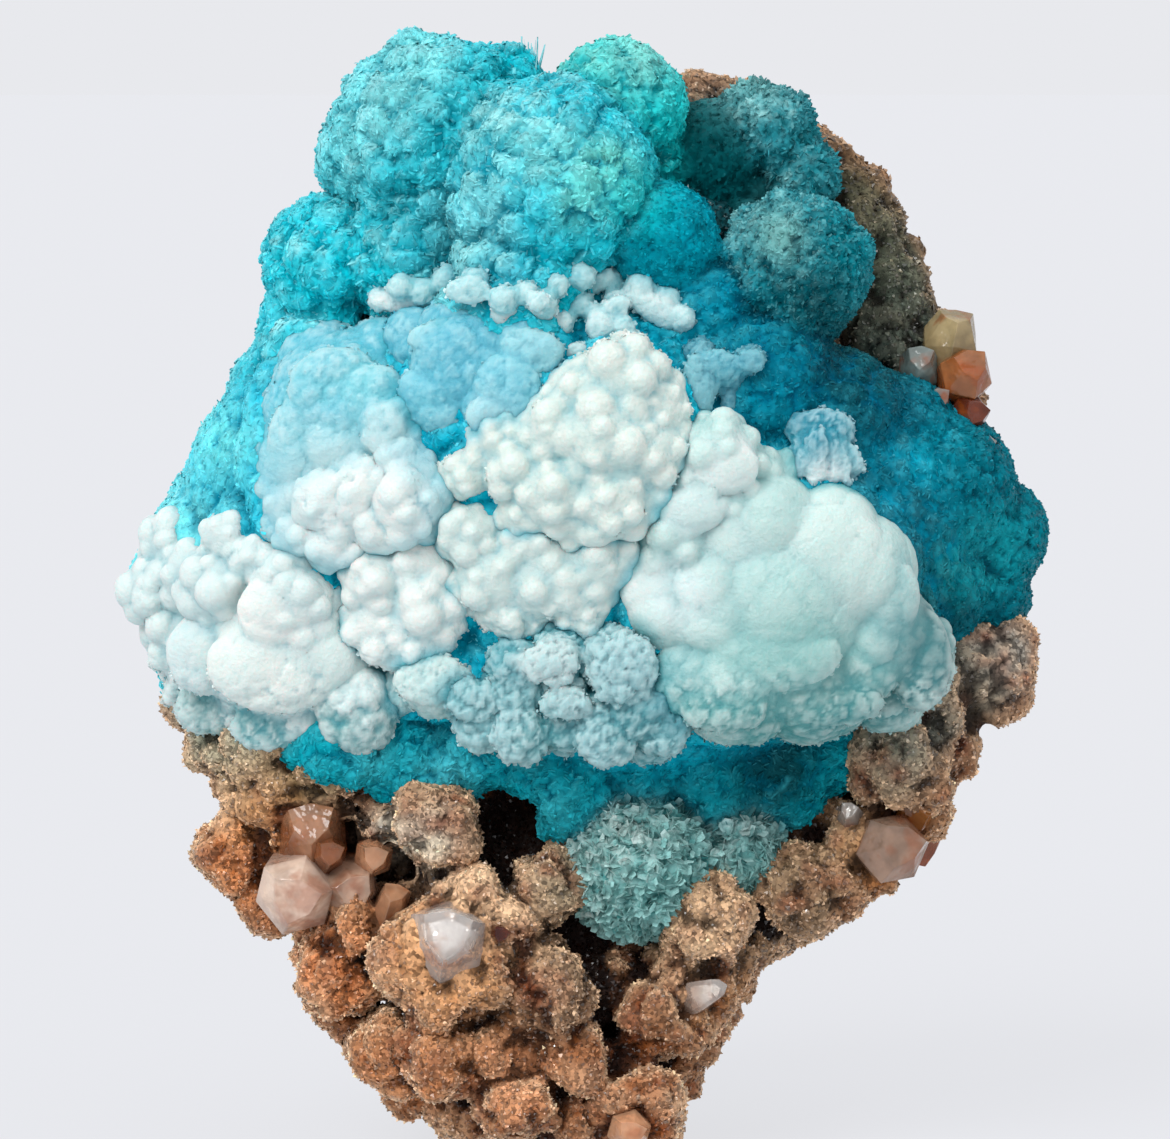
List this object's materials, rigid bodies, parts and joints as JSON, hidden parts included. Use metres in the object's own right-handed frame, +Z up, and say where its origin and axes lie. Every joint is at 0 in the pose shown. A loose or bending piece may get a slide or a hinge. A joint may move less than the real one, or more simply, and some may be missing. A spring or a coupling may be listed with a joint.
{
  "type": "hemimorphite specimen",
  "caption": "Upright cabinet mineral specimen: turquoise and white botryoidal hemimorphite crust on brown drusy rock with quartz crystals, standing on a flat broken foot.",
  "frame": {"origin": "on the flat broken face of the foot, under the middle of the specimen", "axes": "+Z up, the way it stands; the crusted front faces -Y; +X to the right seen from the front"},
  "size_m": [0.1099, 0.0562, 0.1338],
  "materials": {
    "drusy_rock": "rough",
    "turquoise_hemimorphite": "satin",
    "pale_hemimorphite": "satin",
    "smoky_quartz": "gloss",
    "clear_quartz": "gloss"
  },
  "bodies": {
    "root": {"matrix": "drusy_rock", "turquoise_crust": "turquoise_hemimorphite", "top_knob_chain": "pale_hemimorphite", "upper_left_dome": "pale_hemimorphite", "upper_centre_dome": "pale_hemimorphite", "white_mass_centre": "pale_hemimorphite", "low_centre_mass": "pale_hemimorphite", "white_pair": "pale_hemimorphite", "pale_shelf": "pale_hemimorphite", "left_cloud": "pale_hemimorphite", "right_cloud": "pale_hemimorphite", "low_rosettes": "pale_hemimorphite", "pale_fan": "pale_hemimorphite", "pale_patches": "pale_hemimorphite", "smoky_quartz_pair": "smoky_quartz", "small_smoky_quartz": "smoky_quartz", "smoky_quartz_point": "smoky_quartz", "stained_quartz_right": "smoky_quartz", "edge_quartz_right": "smoky_quartz", "orange_quartz_top": "smoky_quartz", "clear_quartz_point": "clear_quartz", "slender_quartz": "clear_quartz", "foot_quartz": "clear_quartz", "white_quartz_wing": "clear_quartz"}
  },
  "joints": []
}
